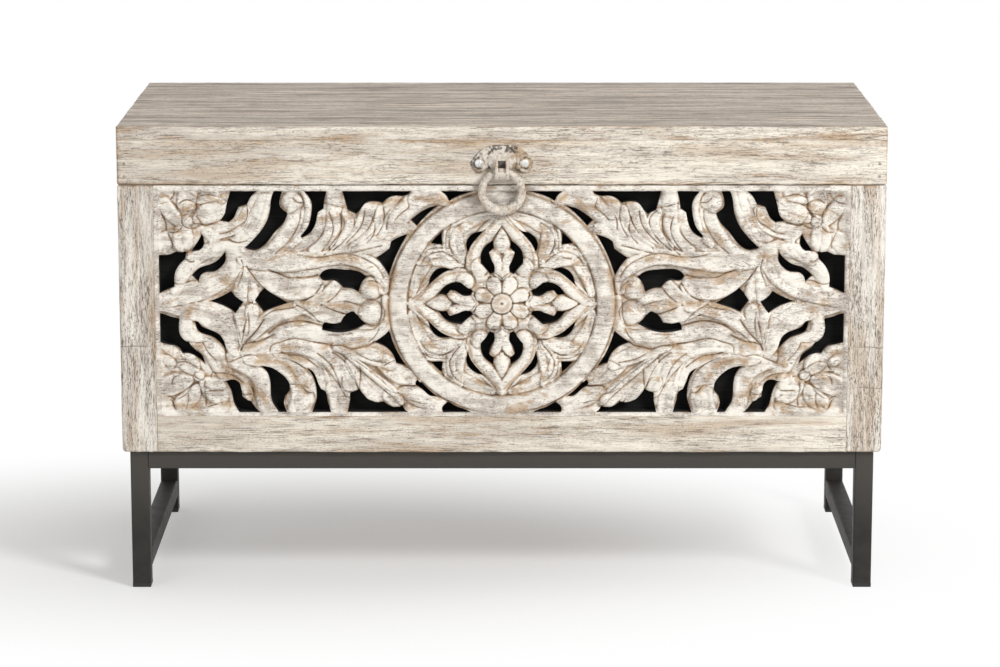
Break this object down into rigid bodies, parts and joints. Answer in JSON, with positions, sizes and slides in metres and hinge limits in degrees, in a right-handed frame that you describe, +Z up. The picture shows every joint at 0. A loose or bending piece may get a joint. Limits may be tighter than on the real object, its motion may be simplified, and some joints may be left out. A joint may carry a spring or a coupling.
{
  "type": "carved wooden trunk on a steel stand",
  "caption": "Rectangular whitewashed wooden storage trunk with a pierced and carved front, a hinged lid with a ring pull, and a square-tube steel stand.",
  "frame": {"origin": "on the floor under the middle of the trunk's width and depth", "axes": "+Z up, the carved front towards -Y, +X to the right seen from the front"},
  "size_m": [0.9, 0.4369, 0.5578],
  "materials": {
    "frame_wood": "worn whitewash",
    "carved_wood": "worn whitewash on carving",
    "lid_top_wood": "worn grey wash",
    "inner_wood": "bare",
    "black_backing": "matt black",
    "stand_steel": "satin",
    "foot_plastic": "matt",
    "hinge_steel": "dull",
    "fastener_steel": "dull",
    "pull_iron": "worn whitewash"
  },
  "bodies": {
    "trunk": {"back_cleat": "inner_wood", "back_left_foot": "foot_plastic", "back_left_leg": "stand_steel", "back_left_post": "inner_wood", "back_lower_board": "frame_wood", "back_right_foot": "foot_plastic", "back_right_leg": "stand_steel", "back_right_post": "inner_wood", "back_upper_board": "frame_wood", "backing_panel": "black_backing", "carved_panel": "carved_wood", "corner_tabs": "stand_steel", "floor_panel": "inner_wood", "front_bottom_rail": "frame_wood", "front_cleat": "inner_wood", "front_left_foot": "foot_plastic", "front_left_leg": "stand_steel", "front_left_post": "inner_wood", "front_left_stile": "frame_wood", "front_right_foot": "foot_plastic", "front_right_leg": "stand_steel", "front_right_post": "inner_wood", "front_right_stile": "frame_wood", "front_top_batten": "inner_wood", "hinge_box_screws": "fastener_steel", "left_cleat": "inner_wood", "left_hinge_box_leaf": "hinge_steel", "left_hinge_pin": "hinge_steel", "left_side_lower_board": "frame_wood", "left_side_upper_board": "frame_wood", "left_stretcher": "stand_steel", "right_cleat": "inner_wood", "right_hinge_box_leaf": "hinge_steel", "right_hinge_pin": "hinge_steel", "right_side_lower_board": "frame_wood", "right_side_upper_board": "frame_wood", "right_stretcher": "stand_steel", "stand_back_rail": "stand_steel", "stand_front_rail": "stand_steel", "stand_left_rail": "stand_steel", "stand_right_rail": "stand_steel", "stand_screws": "fastener_steel"},
    "lid": {"hinge_lid_screws": "fastener_steel", "left_hinge_lid_leaf": "hinge_steel", "lid_back_board": "lid_top_wood", "lid_back_nails": "fastener_steel", "lid_back_rail": "frame_wood", "lid_batten_screws": "fastener_steel", "lid_front_board": "lid_top_wood", "lid_front_nails": "fastener_steel", "lid_front_rail": "frame_wood", "lid_left_batten": "inner_wood", "lid_left_rail": "frame_wood", "lid_middle_board": "lid_top_wood", "lid_right_batten": "inner_wood", "lid_right_rail": "frame_wood", "pull_plate": "pull_iron", "pull_screws": "pull_iron", "right_hinge_lid_leaf": "hinge_steel"},
    "ring": {"pull_ring": "pull_iron"}
  },
  "joints": [
    {"name": "lid_hinge", "type": "hinge", "parent": "trunk", "child": "lid", "pos_m": [0, 0.2048, 0.4884], "axis": [-1, 0, 0], "range_deg": [0, 100]},
    {"name": "ring_swing", "type": "hinge", "parent": "lid", "child": "ring", "pos_m": [0, -0.2105, 0.5058], "axis": [-1, 0, 0], "range_deg": [0, 170]}
  ]
}
